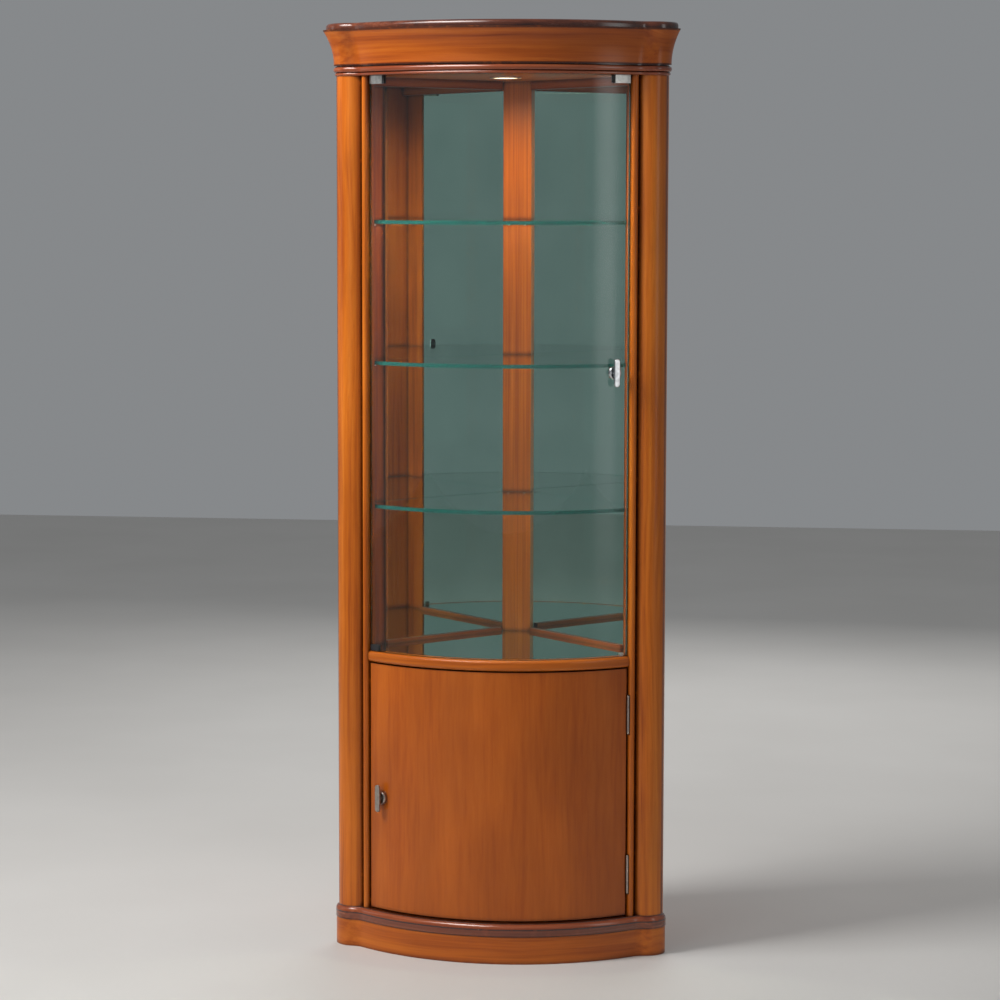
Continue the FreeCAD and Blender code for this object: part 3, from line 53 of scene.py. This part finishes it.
class Tree:
    """A new material's node tree, with short calls for the nodes that the finishes share."""

    def __init__(self, name):
        self.material = bpy.data.materials.new(name)
        self.material.use_nodes = True
        self.nodes = self.material.node_tree.nodes
        self.links = self.material.node_tree.links
        self.nodes.clear()
        self.output = self.nodes.new("ShaderNodeOutputMaterial")

    def add(self, kind, **settings):
        """Adds a node, sets its properties, and its inputs given as NAME=value or a socket."""
        node = self.nodes.new(kind)
        for key, setting in settings.items():
            if hasattr(node, key):
                setattr(node, key, setting)
            else:
                self.feed(node.inputs[key.replace("_", " ")], setting)
        return node

    def feed(self, socket, source):
        """Links a socket, or sets its value."""
        if isinstance(source, bpy.types.NodeSocket):
            self.links.new(source, socket)
        else:
            socket.default_value = source

    def math(self, operation, first, second=0.0, clamp=False):
        node = self.nodes.new("ShaderNodeMath")
        node.operation = operation
        node.use_clamp = clamp
        self.feed(node.inputs[0], first)
        self.feed(node.inputs[1], second)
        return node.outputs[0]

    def mix(self, factor, first, second, blend="MIX"):
        """Mixes two colours."""
        node = self.nodes.new("ShaderNodeMix")
        node.data_type = "RGBA"
        node.blend_type = blend
        self.feed(node.inputs[0], factor)
        self.feed(node.inputs[6], first)
        self.feed(node.inputs[7], second)
        return node.outputs[2]

    def ramp(self, factor, stops):
        """Colour ramp from (position, colour) stops."""
        node = self.nodes.new("ShaderNodeValToRGB")
        elements = node.color_ramp.elements
        while len(elements) < len(stops):
            elements.new(0.5)
        for element, (position, colour) in zip(elements, stops):
            element.position = position
            element.color = colour
        self.feed(node.inputs[0], factor)
        return node.outputs[0]

    def span(self, value, low, high):
        """0 at low and 1 at high, clamped."""
        node = self.nodes.new("ShaderNodeMapRange")
        self.feed(node.inputs["Value"], value)
        node.inputs["From Min"].default_value = low
        node.inputs["From Max"].default_value = high
        return node.outputs[0]

    def noise(self, place, across, along=None, detail=2.0, roughness=0.5):
        """Noise with about this many marks per metre, across and along the grain."""
        along = across if along is None else along
        stretched = self.nodes.new("ShaderNodeVectorMath")
        stretched.operation = "MULTIPLY"
        self.links.new(place, stretched.inputs[0])
        stretched.inputs[1].default_value = (across, across, along)
        node = self.add("ShaderNodeTexNoise", Scale=1.0, Detail=detail, Roughness=roughness)
        self.links.new(stretched.outputs[0], node.inputs["Vector"])
        return node.outputs[0]

    def place(self):
        """Position in the piece's own axes, which are the frame's axes at rest."""
        return self.add("ShaderNodeTexCoord").outputs["Object"]

    def facing(self):
        """The flat face normal in the piece's own axes, so that it turns with a door."""
        turned = self.add("ShaderNodeVectorTransform", vector_type="NORMAL", convert_from="WORLD")
        turned.convert_to = "OBJECT"
        self.links.new(self.add("ShaderNodeNewGeometry").outputs["True Normal"], turned.inputs[0])
        return turned.outputs[0]

    def separate(self, vector):
        """The x, y and z of a vector."""
        split = self.add("ShaderNodeSeparateXYZ")
        self.links.new(vector, split.inputs[0])
        return split.outputs

    def largest(self, first, second):
        return self.math("MAXIMUM", first, second)

    def length(self, x, y):
        """Length of a flat vector."""
        squares = self.math("ADD", self.math("POWER", x, 2.0), self.math("POWER", y, 2.0))
        return self.math("SQRT", squares)

    def blend(self, share, first, second):
        """Mixes two shader nodes."""
        node = self.nodes.new("ShaderNodeMixShader")
        self.feed(node.inputs[0], share)
        self.links.new(first.outputs[0], node.inputs[1])
        self.links.new(second.outputs[0], node.inputs[2])
        return node

    def combine(self, x, y, z):
        node = self.nodes.new("ShaderNodeCombineXYZ")
        for socket, source in zip(node.inputs, (x, y, z)):
            self.feed(socket, source)
        return node.outputs[0]

    def bump(self, height, strength, distance):
        node = self.add("ShaderNodeBump", Strength=strength, Distance=distance)
        self.links.new(height, node.inputs["Height"])
        return node.outputs[0]

    def occlusion(self, distance, inside=False):
        """1 on open faces, falling towards 0 in corners, or near outer edges with inside."""
        node = self.add("ShaderNodeAmbientOcclusion", samples=12, inside=inside, Distance=distance)
        return node.outputs["AO"]

    def finish(self, shader):
        self.links.new(shader, self.output.inputs["Surface"])
        return self.material


def rgb(red, green, blue):
    """Linear colour from 8-bit display values."""
    return tuple((channel / 255) ** 2.2 for channel in (red, green, blue)) + (1.0,)


# --------------------------------------------------------------------------------- wood


WALL_SIDES = {"left_wall": -1.0, "right_wall": 1.0}
WANDER = 0.05                             # metres that the grain drifts sideways at most
EDGE_REACH = 0.004                        # how far in from an outer edge the painted shade reaches
LINE_CORE = 0.35                          # share of a painted shade line's half-width that is darkest
INNER_START = BOW_RADIUS - 0.007          # the inner faces' painted shade, darker and redder, fades in from here
INNER_FULL = BOW_RADIUS - 0.013           # and is full from here back
INNER_SHADE = (0.66, 0.50, 0.46, 1.0)     # what the inner faces keep of the colour under their painted shade
POST_SHADE_START = POST_EDGE - 0.0050     # painted shade thickens from here out to a post's flat side
POST_SHADE_FULL = POST_EDGE - 0.0012
FLAT_SIDE = 0.985                         # a face that turns this far sideways is a flat side


def grain_place(tree, direction):
    """Coordinates whose Z runs along the grain: upright, around the bow, along a wall, or across."""
    x, y, z = tree.separate(tree.place())
    if direction == "board":
        return tree.combine(y, z, x)
    if direction in WALL_SIDES:
        sideways = tree.math("MULTIPLY", x, WALL_SIDES[direction])
        return tree.combine(tree.math("ADD", sideways, y), z, tree.math("SUBTRACT", sideways, y))
    ahead = tree.math("SUBTRACT", BOW_CENTRE_Y, y)
    around = tree.math("MULTIPLY", tree.math("ARCTAN2", x, ahead), BOW_RADIUS)
    depth = tree.length(x, ahead)
    if direction == "upright":
        return tree.combine(around, depth, z)
    return tree.combine(z, depth, around)


def drifted(tree, place):
    """The place pushed sideways by slow noise, so that the grain wanders."""
    drift = tree.noise(place, across=7.0, along=1.1, detail=3.0, roughness=0.55)
    moved = tree.add("ShaderNodeVectorMath", operation="ADD")
    tree.links.new(place, moved.inputs[0])
    tree.links.new(tree.combine(tree.math("MULTIPLY", drift, WANDER), 0.0, 0.0), moved.inputs[1])
    return moved.outputs[0]


def figure(tree, place, streaks, pores, stain):
    """The stained wood's colour: streaks in broad bands, soft clouding and dark pores."""
    broad = tree.noise(place, across=22.0, along=1.0, detail=3.0)
    clouds = tree.noise(place, across=9.0, along=4.0)
    blend = tree.math("ADD", tree.math("MULTIPLY", streaks, 0.6), tree.math("MULTIPLY", broad, 0.4))
    colour = tree.ramp(blend, [(0.34, stain["dark"]), (0.5, stain["middle"]), (0.66, stain["light"])])
    shade = tree.ramp(clouds, [(0.3, (0.82, 0.80, 0.78, 1)), (0.7, (1.06, 1.06, 1.06, 1))])
    colour = tree.mix(1.0, colour, shade, "MULTIPLY")
    return tree.mix(tree.math("MULTIPLY", pores, 0.55), colour, stain["dark"])


def corner_shade(tree, reach):
    """1 in corners and crevices, where shade is painted, and half as much along outer edges, where painted
    shade also darkens the rim.
    """
    corner = tree.span(tree.occlusion(reach), 0.92, 0.35)
    edge = tree.span(tree.occlusion(EDGE_REACH, inside=True), 0.93, 0.45)
    return tree.largest(tree.math("MULTIPLY", corner, 0.92), tree.math("MULTIPLY", edge, 0.5))


def shade_lines(tree):
    """1 on the thin lines of painted shade at the mouldings' joints and grooves, at set heights."""
    z = tree.separate(tree.place())[2]
    drawn = 0.0
    for level, reach, strength in SHADE_LINES:
        away = tree.math("ABSOLUTE", tree.math("SUBTRACT", z, level))
        line = tree.math("MULTIPLY", tree.span(away, reach, reach * LINE_CORE), strength)
        drawn = tree.largest(drawn, line)
    return drawn


def inner_faces(tree):
    """1 on faces that look into the cabinet from behind the doors, where painted shade makes the colour
    darker and redder.
    """
    x, y, _ = tree.separate(tree.place())
    facing_x = tree.separate(tree.facing())[0]
    outward = tree.math("MULTIPLY", x, facing_x)
    radius = tree.length(x, tree.math("SUBTRACT", BOW_CENTRE_Y, y))
    behind = tree.span(radius, INNER_START, INNER_FULL)
    return tree.math("MULTIPLY", tree.span(outward, -0.02, -0.06), behind)


def post_edge_shade(tree):
    """1 where the rounded posts run out into their flat sides, which get a thick line of painted shade."""
    away = tree.math("ABSOLUTE", tree.separate(tree.place())[0])
    sideways = tree.math("ABSOLUTE", tree.separate(tree.facing())[0])
    rounded = tree.math("LESS_THAN", sideways, FLAT_SIDE)
    outer = tree.span(away, POST_SHADE_START, POST_SHADE_FULL)
    return tree.math("MULTIPLY", outer, rounded)


def wood(name, direction, stain, gloss=0.16, coat=0.3, reach=0.012, streak=2.4, lined=False, post=False):
    """Lacquered cherry, darkened towards its shade colour as painted shade in corners, crevices and along
    edges: LINED mouldings also get lines of painted shade, and a POST gets painted shade on its flat sides
    and, darker and redder, on its inner faces.
    """
    tree = Tree(name)
    place = drifted(tree, grain_place(tree, direction))
    streaks = tree.noise(place, across=95.0, along=streak, detail=6.0, roughness=0.62)
    pores = tree.span(tree.noise(place, across=1300.0, along=26.0), 0.36, 0.24)
    colour = figure(tree, place, streaks, pores, stain)
    painted_shade_mask = corner_shade(tree, reach)
    if lined:
        painted_shade_mask = tree.largest(painted_shade_mask, shade_lines(tree))
    if post:
        # painted shade on the inner faces: darker and redder
        redder = tree.mix(1.0, colour, INNER_SHADE, "MULTIPLY")
        colour = tree.mix(inner_faces(tree), colour, redder)
        # painted shade along the posts' flat sides
        painted_shade_mask = tree.largest(painted_shade_mask, tree.math("MULTIPLY", post_edge_shade(tree), 0.8))
    uneven = tree.span(tree.noise(place, across=60.0, detail=3.0), 0.0, 0.45)
    # painted shade: corners, crevices, edges and the set lines darkened towards the shade colour
    colour = tree.mix(tree.math("MULTIPLY", painted_shade_mask, uneven), colour, stain["shade_colour"])
    rough = tree.math("ADD", tree.math("MULTIPLY", streaks, 0.16), gloss + 0.12)
    height = tree.math("SUBTRACT", streaks, tree.math("MULTIPLY", pores, 0.8))
    normal = tree.bump(height, 0.18, 0.0004)
    shader = tree.add("ShaderNodeBsdfPrincipled", Base_Color=colour, Roughness=rough, Normal=normal)
    shader.inputs["Specular IOR Level"].default_value = 0.25
    shader.inputs["Coat Weight"].default_value = coat
    shader.inputs["Coat Roughness"].default_value = gloss
    shader.inputs["Coat IOR"].default_value = 1.5
    return tree.finish(shader.outputs[0])


def stain(light, middle, dark, shade_colour):
    """A stained wood's colours, from 8-bit display values; the last is the colour that painted shade
    darkens towards.
    """
    return {"light": rgb(*light), "middle": rgb(*middle), "dark": rgb(*dark), "shade_colour": rgb(*shade_colour)}


CHERRY = stain((206, 114, 34), (186, 94, 22), (146, 64, 14), (48, 10, 3))
# a lighter copy of CHERRY for the posts and back panels, a painted highlight
LIT_POST_CHERRY = stain((214, 122, 38), (194, 101, 25), (152, 68, 15), (44, 9, 3))
# a darker, redder copy of CHERRY for pieces inside the cabinet, painted shade
SHADED_INNER_CHERRY = stain((176, 90, 34), (154, 70, 24), (114, 46, 16), (40, 8, 3))
DOOR_CHERRY = stain((186, 96, 28), (177, 88, 22), (162, 76, 18), (48, 10, 3))
COVE_CHERRY = stain((194, 104, 34), (172, 84, 24), (134, 58, 16), (40, 9, 4))
RED = stain((166, 88, 50), (144, 70, 38), (104, 44, 24), (34, 8, 4))
DARK = stain((124, 66, 42), (98, 50, 32), (60, 28, 18), (26, 8, 4))


# ------------------------------------------------------------------------- glass and mirror


def clear_glass(name, tint, edge_colour, edge_mask, edge_share):
    """Clear glass that shows its body colour on the cut edges, where EDGE_MASK gives 1."""
    tree = Tree(name)
    smear = tree.noise(tree.place(), across=3.0, along=2.0, detail=4.0, roughness=0.6)
    rough = tree.math("MULTIPLY", tree.span(smear, 0.45, 0.9), 0.05)
    glass = tree.add("ShaderNodeBsdfPrincipled", Base_Color=tint, Roughness=rough)
    glass.inputs["Transmission Weight"].default_value = 1.0
    glass.inputs["IOR"].default_value = 1.46
    see_through = tree.add("ShaderNodeBsdfTransparent", Color=(0.93, 0.97, 0.96, 1.0))
    shadow = tree.add("ShaderNodeLightPath").outputs["Is Shadow Ray"]
    body = tree.blend(shadow, glass, see_through)
    edge = tree.add("ShaderNodeBsdfPrincipled", Base_Color=edge_colour, Roughness=0.12)
    edge.inputs["Coat Weight"].default_value = 1.0
    edge.inputs["Coat Roughness"].default_value = 0.04
    share = tree.math("MULTIPLY", edge_mask(tree), edge_share)
    return tree.finish(tree.blend(share, body, edge).outputs[0])


def upright_faces(tree):
    """1 on a shelf's cut edge, all round."""
    facing_z = tree.separate(tree.facing())[2]
    return tree.math("LESS_THAN", tree.math("ABSOLUTE", facing_z), 0.5)


def faces_off_the_bow(tree):
    """1 on the bent pane's top, bottom and end edges."""
    x, y, _ = tree.separate(tree.place())
    facing_x, facing_y, _ = tree.separate(tree.facing())
    from_centre = tree.math("SUBTRACT", y, BOW_CENTRE_Y)
    radial = tree.math(
        "ADD",
        tree.math("MULTIPLY", facing_x, x),
        tree.math("MULTIPLY", facing_y, from_centre),
    )
    return tree.math("LESS_THAN", tree.math("ABSOLUTE", radial), 0.2)


SHELF_GLASS = clear_glass("shelf_glass", (0.93, 0.985, 0.97, 1.0), rgb(26, 102, 93), upright_faces, 0.86)
DOOR_GLASS = clear_glass("door_glass", (0.985, 0.998, 0.993, 1.0), rgb(18, 70, 62), faces_off_the_bow, 0.8)


def mirror():
    """Silvered float glass, a little green, with the faintest haze."""
    tree = Tree("mirror_glass")
    haze = tree.noise(tree.place(), across=5.0, detail=4.0, roughness=0.6)
    colour = tree.ramp(haze, [(0.3, rgb(196, 220, 213)), (0.7, rgb(206, 228, 221))])
    rough = tree.math("MULTIPLY", tree.span(haze, 0.4, 0.9), 0.03)
    shader = tree.add("ShaderNodeBsdfPrincipled", Base_Color=colour, Roughness=rough, Metallic=1.0)
    return tree.finish(shader.outputs[0])


# ---------------------------------------------------------------------- metal, plastic, lamp


def metal(name, colour, roughness, brushed):
    """Metal with fine brushing along Z, rubbed brighter at its edges."""
    tree = Tree(name)
    lines = tree.noise(tree.place(), across=2600.0, along=90.0, detail=3.0, roughness=0.6)
    dulled = tree.noise(tree.place(), across=140.0, detail=3.0)
    worn = tree.span(tree.occlusion(0.0015, inside=True), 0.9, 0.4)
    bright = tuple(min(1.0, channel * 1.25) for channel in colour[:3]) + (1.0,)
    dull = tuple(channel * 0.72 for channel in colour[:3]) + (1.0,)
    base = tree.mix(tree.span(dulled, 0.35, 0.7), colour, dull)
    base = tree.mix(tree.math("MULTIPLY", worn, 0.7), base, bright)
    rough = tree.math("ADD", tree.math("MULTIPLY", lines, brushed), roughness)
    normal = tree.bump(lines, brushed, 0.00005)
    shader = tree.add("ShaderNodeBsdfPrincipled", Base_Color=base, Roughness=rough, Normal=normal)
    shader.inputs["Metallic"].default_value = 1.0
    return tree.finish(shader.outputs[0])


def black_plastic():
    """Fine-textured black plastic."""
    tree = Tree("black_plastic")
    grit = tree.noise(tree.place(), across=3200.0)
    colour = tree.ramp(grit, [(0.3, (0.010, 0.010, 0.011, 1)), (0.7, (0.022, 0.022, 0.023, 1))])
    rough = tree.math("ADD", tree.math("MULTIPLY", grit, 0.2), 0.42)
    shader = tree.add(
        "ShaderNodeBsdfPrincipled", Base_Color=colour, Roughness=rough, Normal=tree.bump(grit, 0.3, 0.00005)
    )
    return tree.finish(shader.outputs[0])


GLOW_FALL = 36.0        # per metre: the lens's glow is weakest 1 / 36 m from its centre


def lamp_lens():
    """Frosted lens, lit from behind and brighter in the middle."""
    tree = Tree("lamp_lens")
    away = tree.add("ShaderNodeVectorMath", operation="DISTANCE")
    tree.links.new(tree.place(), away.inputs[0])
    away.inputs[1].default_value = lens_centre
    shine = tree.ramp(
        tree.math("MULTIPLY", away.outputs["Value"], GLOW_FALL),
        [(0.0, (1.0, 0.93, 0.78, 1)), (0.6, (1.0, 0.80, 0.52, 1)), (1.0, (0.55, 0.34, 0.16, 1))],
    )
    shader = tree.add("ShaderNodeBsdfPrincipled", Base_Color=(0.9, 0.88, 0.82, 1.0), Roughness=0.35)
    tree.feed(shader.inputs["Emission Color"], shine)
    shader.inputs["Emission Strength"].default_value = 3.0
    return tree.finish(shader.outputs[0])


# --------------------------------------------------------------------- finishes on the pieces

FINISHES = {
    wood("cherry_upright", "upright", CHERRY): ["rear_corner_post"],
    wood("cherry_post", "upright", LIT_POST_CHERRY, post=True): [
        "left_post", "right_post", "left_back_panel", "right_back_panel",
    ],
    wood("cherry_door", "upright", DOOR_CHERRY, streak=7.0): ["wood_door"],
    wood("cherry_around", "around", CHERRY): ["ledge_rail", "plinth_board"],
    wood("cherry_cove", "around", COVE_CHERRY, lined=True): ["cornice_cove"],
    wood("dark_board", "board", DARK, gloss=0.06, coat=1.0): ["cornice_cap"],
    wood("red_around", "around", RED, gloss=0.06, coat=1.0, reach=0.007, lined=True): [
        "plinth_cap_moulding", "cornice_bead_moulding",
    ],
    wood("cherry_board", "board", CHERRY): [
        "base_board", "divider_board", "ceiling_board", "cupboard_shelf",
    ],
    wood("cherry_left", "left_wall", SHADED_INNER_CHERRY): [
        "left_deck_bead", "left_ceiling_rail", "left_plinth_bearer", "left_cornice_rail",
    ],
    wood("cherry_right", "right_wall", SHADED_INNER_CHERRY): [
        "right_deck_bead", "right_ceiling_rail", "right_plinth_bearer", "right_cornice_rail",
    ],
    SHELF_GLASS: ["lower_shelf", "middle_shelf", "upper_shelf"],
    DOOR_GLASS: ["glass_door_pane"],
    mirror(): ["left_mirror", "right_mirror", "deck_mirror"],
    metal("satin_nickel", rgb(176, 166, 158), 0.24, 0.16): [
        "wood_door_knob_plate", "wood_door_knob_stem", "lower_hinge_door_leaf", "lower_hinge_post_leaf",
        "upper_hinge_door_leaf", "upper_hinge_post_leaf", "hinge_pins", "hinge_door_screws",
        "hinge_post_screws", "wood_door_strike_plate", "shelf_pins", "cupboard_shelf_pins",
    ],
    metal("polished_chrome", rgb(222, 224, 226), 0.04, 0.03): [
        "glass_door_knob_plate", "glass_door_knob_stem", "glass_door_knob_rosette",
    ],
    metal("brushed_silver", rgb(206, 206, 202), 0.22, 0.20): [
        "glass_door_pivot_clip", "glass_door_catch_clip", "glass_door_top_pivot_pin",
        "glass_door_bottom_pivot_pin", "glass_door_magnet", "glass_door_stop",
        "spotlight_ring", "spotlight_can",
    ],
    black_plastic(): [
        "glass_door_clip_pads", "glass_door_bottom_shoe", "glass_door_pivot_bushes", "wood_door_catch",
    ],
    lamp_lens(): ["spotlight_lens"],
}


def dress():
    """Gives every CAD node its finish."""
    for material, names in FINISHES.items():
        for name in names:
            node = nodes_of[name]
            if not node.material_slots:
                node.data.materials.append(material)
            for slot in node.material_slots:
                slot.material = material
    bare = set(nodes_of) - {name for names in FINISHES.values() for name in names}
    if bare:
        raise RuntimeError("nodes without a finish: " + ", ".join(sorted(bare)))


dress()


# ----------------------------------------------------------------------- stage, light, camera


def floor():
    """Pale satin floor."""
    bpy.ops.mesh.primitive_plane_add(size=16.0, location=(0, 0, 0))
    plane = bpy.context.object
    plane.name = "floor"
    tree = Tree("pale_floor")
    tone = tree.noise(tree.place(), across=1.5, detail=3.0)
    colour = tree.ramp(tone, [(0.3, (0.62, 0.60, 0.57, 1)), (0.7, (0.66, 0.64, 0.61, 1))])
    shader = tree.add("ShaderNodeBsdfPrincipled", Base_Color=colour, Roughness=0.55)
    plane.data.materials.append(tree.finish(shader.outputs[0]))


def soft_light(name, place, target, side, power, depth=None):
    """Soft box that faces its target and leaves reflections to the glow panels."""
    light = bpy.data.lights.new(name, "AREA")
    light.shape = "RECTANGLE"
    light.size = side
    light.size_y = depth or side
    light.energy = power
    lamp = bpy.data.objects.new(name, light)
    bpy.context.scene.collection.objects.link(lamp)
    lamp.location = place
    lamp.rotation_euler = (Vector(target) - Vector(place)).to_track_quat("-Z", "Y").to_euler()
    lamp.visible_glossy = False
    lamp.visible_transmission = False


def glow(name, strength):
    """Clear material that gives off light, from nothing at the panel's edges to its middle."""
    tree = Tree(name)
    fades = []
    for along in tree.separate(tree.add("ShaderNodeTexCoord").outputs["UV"])[:2]:
        fade = tree.math("MULTIPLY", along, tree.math("SUBTRACT", 1.0, along))
        fades.append(tree.math("POWER", tree.math("MULTIPLY", fade, 4.0, clamp=True), 1.4))
    emission = tree.add("ShaderNodeEmission", Color=(1.0, 0.99, 0.97, 1.0))
    tree.feed(emission.inputs["Strength"], tree.math("MULTIPLY", tree.math("MULTIPLY", *fades), strength))
    over = tree.add("ShaderNodeAddShader")
    tree.links.new(tree.add("ShaderNodeBsdfTransparent").outputs[0], over.inputs[0])
    tree.links.new(emission.outputs[0], over.inputs[1])
    return tree.finish(over.outputs[0])


def glow_panel(name, azimuth, distance, width, low, high, strength):
    """Upright panel that shows in glass and lacquer only, AZIMUTH degrees round from the front."""
    angle = math.radians(azimuth)
    centre = Vector((math.sin(angle), -math.cos(angle), 0.0)) * distance
    half = Vector((math.cos(angle), math.sin(angle), 0.0)) * width / 2
    left, right = centre - half, centre + half
    foot, head = Vector((0.0, 0.0, low)), Vector((0.0, 0.0, high))
    mesh = bpy.data.meshes.new(name)
    mesh.from_pydata([left + foot, right + foot, right + head, left + head], [], [(0, 1, 2, 3)])
    mesh.uv_layers.new(name="panel")
    for loop, corner in zip(mesh.uv_layers["panel"].data, ((0, 0), (1, 0), (1, 1), (0, 1))):
        loop.uv = corner
    mesh.materials.append(glow(name, strength))
    panel = bpy.data.objects.new(name, mesh)
    bpy.context.scene.collection.objects.link(panel)
    panel.visible_camera = False
    panel.visible_diffuse = False
    panel.visible_shadow = False
    panel.visible_transmission = False


LAMP_GAP = 0.004        # between the lens and the light


def cabinet_lamp():
    """The spotlight's own light, just under its lens."""
    light = bpy.data.lights.new("cabinet_lamp", "SPOT")
    light.energy = 10.0
    light.color = (1.0, 0.86, 0.68)
    light.spot_size = math.radians(170)
    light.spot_blend = 1.0
    light.shadow_soft_size = 0.02
    lamp = bpy.data.objects.new("cabinet_lamp", light)
    bpy.context.scene.collection.objects.link(lamp)
    lamp.location = (lens_centre.x, lens_centre.y, lens_low.z - LAMP_GAP)


def studio():
    """Soft key from the left, a little front and rear fill, and glow panels for the reflections."""
    soft_light("key", place=(-2.1, -1.25, 3.15), target=(0, 0, 1.4), side=1.3, power=110.0)
    soft_light("front", place=(-2.0, -4.2, 1.6), target=(0, 0, 0.8), side=2.0, power=21.0)
    soft_light("rear", place=(0.4, 3.8, 2.6), target=(0, 0, 1.0), side=3.0, depth=2.0, power=60.0)
    glow_panel("left_panel", azimuth=-86.0, distance=3.4, width=1.2, low=0.0, high=3.8, strength=0.8)
    glow_panel("right_panel", azimuth=56.0, distance=3.4, width=1.1, low=0.0, high=4.2, strength=1.7)
    glow_panel("high_panel", azimuth=-36.0, distance=2.5, width=2.6, low=2.4, high=6.4, strength=18.0)
    world = bpy.data.worlds.new("studio")
    bpy.context.scene.world = world
    world.use_nodes = True
    background = world.node_tree.nodes["Background"]
    background.inputs["Color"].default_value = (0.80, 0.83, 0.86, 1.0)
    background.inputs["Strength"].default_value = 0.30


CAMERA_PLACE = (0.758, -6.1746, 1.6356)
CAMERA_TURN = 0.1241        # radians, to the left of straight at the cabinet
CAMERA_PITCH = -0.0956
CAMERA_ROLL = 0.0021


def camera():
    """Camera at the picture's viewing angle: slightly right of centre, above the middle."""
    data = bpy.data.cameras.new("camera")
    data.sensor_width = 36.0
    data.lens = 102.96
    data.shift_y = -0.03
    level = math.cos(CAMERA_PITCH)
    ahead = Vector((-math.sin(CAMERA_TURN) * level, math.cos(CAMERA_TURN) * level, math.sin(CAMERA_PITCH)))
    right = Vector((math.cos(CAMERA_TURN), math.sin(CAMERA_TURN), 0.0))
    up = right.cross(ahead)
    rolled_right = right * math.cos(CAMERA_ROLL) + up * math.sin(CAMERA_ROLL)
    rolled_up = up * math.cos(CAMERA_ROLL) - right * math.sin(CAMERA_ROLL)
    turned = Matrix((rolled_right, rolled_up, -ahead)).transposed().to_4x4()
    item = bpy.data.objects.new("camera", data)
    bpy.context.scene.collection.objects.link(item)
    item.matrix_world = Matrix.Translation(CAMERA_PLACE) @ turned
    bpy.context.scene.camera = item


floor()
cabinet_lamp()
studio()
camera()
bpy.context.scene.view_settings.view_transform = "Standard"
